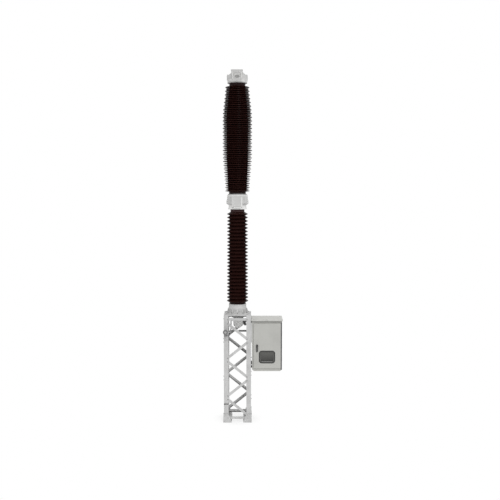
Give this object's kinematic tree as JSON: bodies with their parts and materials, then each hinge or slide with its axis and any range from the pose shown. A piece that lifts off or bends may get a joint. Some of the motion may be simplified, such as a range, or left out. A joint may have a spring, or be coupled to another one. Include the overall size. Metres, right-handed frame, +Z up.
{
  "type": "gas insulated circuit breaker pole",
  "caption": "Outdoor live-tank gas circuit breaker pole: dark ribbed insulators on a braced lattice stand, with a side-hung drive cabinet.",
  "frame": {"origin": "on the insulator axis at ground level, in the middle of the foundation bolt pattern", "axes": "+Z up along the insulator axis, -Y to the front with the cabinet door and the upper terminal, +X towards the cabinet"},
  "size_m": [1.1555, 0.94, 6.75],
  "materials": {
    "black_plastic": "black, fine grain",
    "black_rubber": "black, matt",
    "bright_steel": "stainless, satin",
    "brown_porcelain": "dark brown gloss glaze",
    "cast_aluminium": "cast, lightly weathered",
    "dark_steel": "dark grey, half matt",
    "dial_white": "white enamel",
    "drive_grey": "mid grey machine paint",
    "galvanised_steel": "hot dip galvanised, matt light grey",
    "grey_paint": "warm light grey powder coat, matt",
    "smoked_glass": "smoked safety glass",
    "spring_paint": "black, half gloss"
  },
  "bodies": {
    "root": {"base_casting": "cast_aluminium", "bracing_back": "galvanised_steel", "bracing_front": "galvanised_steel", "bracing_left": "galvanised_steel", "bracing_right": "galvanised_steel", "cabinet_back": "grey_paint", "cabinet_floor": "grey_paint", "cabinet_front": "grey_paint", "cabinet_left_wall": "grey_paint", "cabinet_right_wall": "grey_paint", "cabinet_roof": "grey_paint", "chamber_fitting": "cast_aluminium", "chamber_insulator": "brown_porcelain", "conduit": "dark_steel", "crank_housing": "cast_aluminium", "crank_lever": "dark_steel", "crank_shaft": "dark_steel", "drive_frame": "dark_steel", "drive_gearbox": "drive_grey", "drive_springs": "spring_paint", "earth_clamp": "dark_steel", "foot_back_left": "galvanised_steel", "foot_back_right": "galvanised_steel", "foot_front_left": "galvanised_steel", "foot_front_right": "galvanised_steel", "gas_pipe": "bright_steel", "gauge_body": "black_plastic", "gauge_bracket": "bright_steel", "gauge_dial": "dial_white", "hinge_pin": "dark_steel", "leg_back_left": "galvanised_steel", "leg_back_right": "galvanised_steel", "leg_front_left": "galvanised_steel", "leg_front_right": "galvanised_steel", "lower_mounts": "galvanised_steel", "lower_terminal": "cast_aluminium", "middle_housing": "cast_aluminium", "pull_rod": "dark_steel", "support_insulator": "brown_porcelain", "top_cap": "cast_aluminium", "top_fitting": "cast_aluminium", "top_plate": "galvanised_steel", "upper_mounts": "galvanised_steel", "upper_terminal": "cast_aluminium"},
    "door": {"door": "grey_paint", "window_gasket": "black_rubber", "window_glass": "smoked_glass", "escutcheon": "black_plastic"},
    "handle": {"handle": "black_plastic"}
  },
  "joints": [
    {"name": "door_hinge", "type": "hinge", "parent": "root", "child": "door", "pos_m": [0.8485, -0.2725, 1.5], "axis": [0, 0, 1], "range_deg": [0, 115]},
    {"name": "handle_turn", "type": "hinge", "parent": "door", "child": "handle", "pos_m": [0.379, -0.2835, 1.515], "axis": [0, -1, 0], "range_deg": [0, 90]}
  ]
}
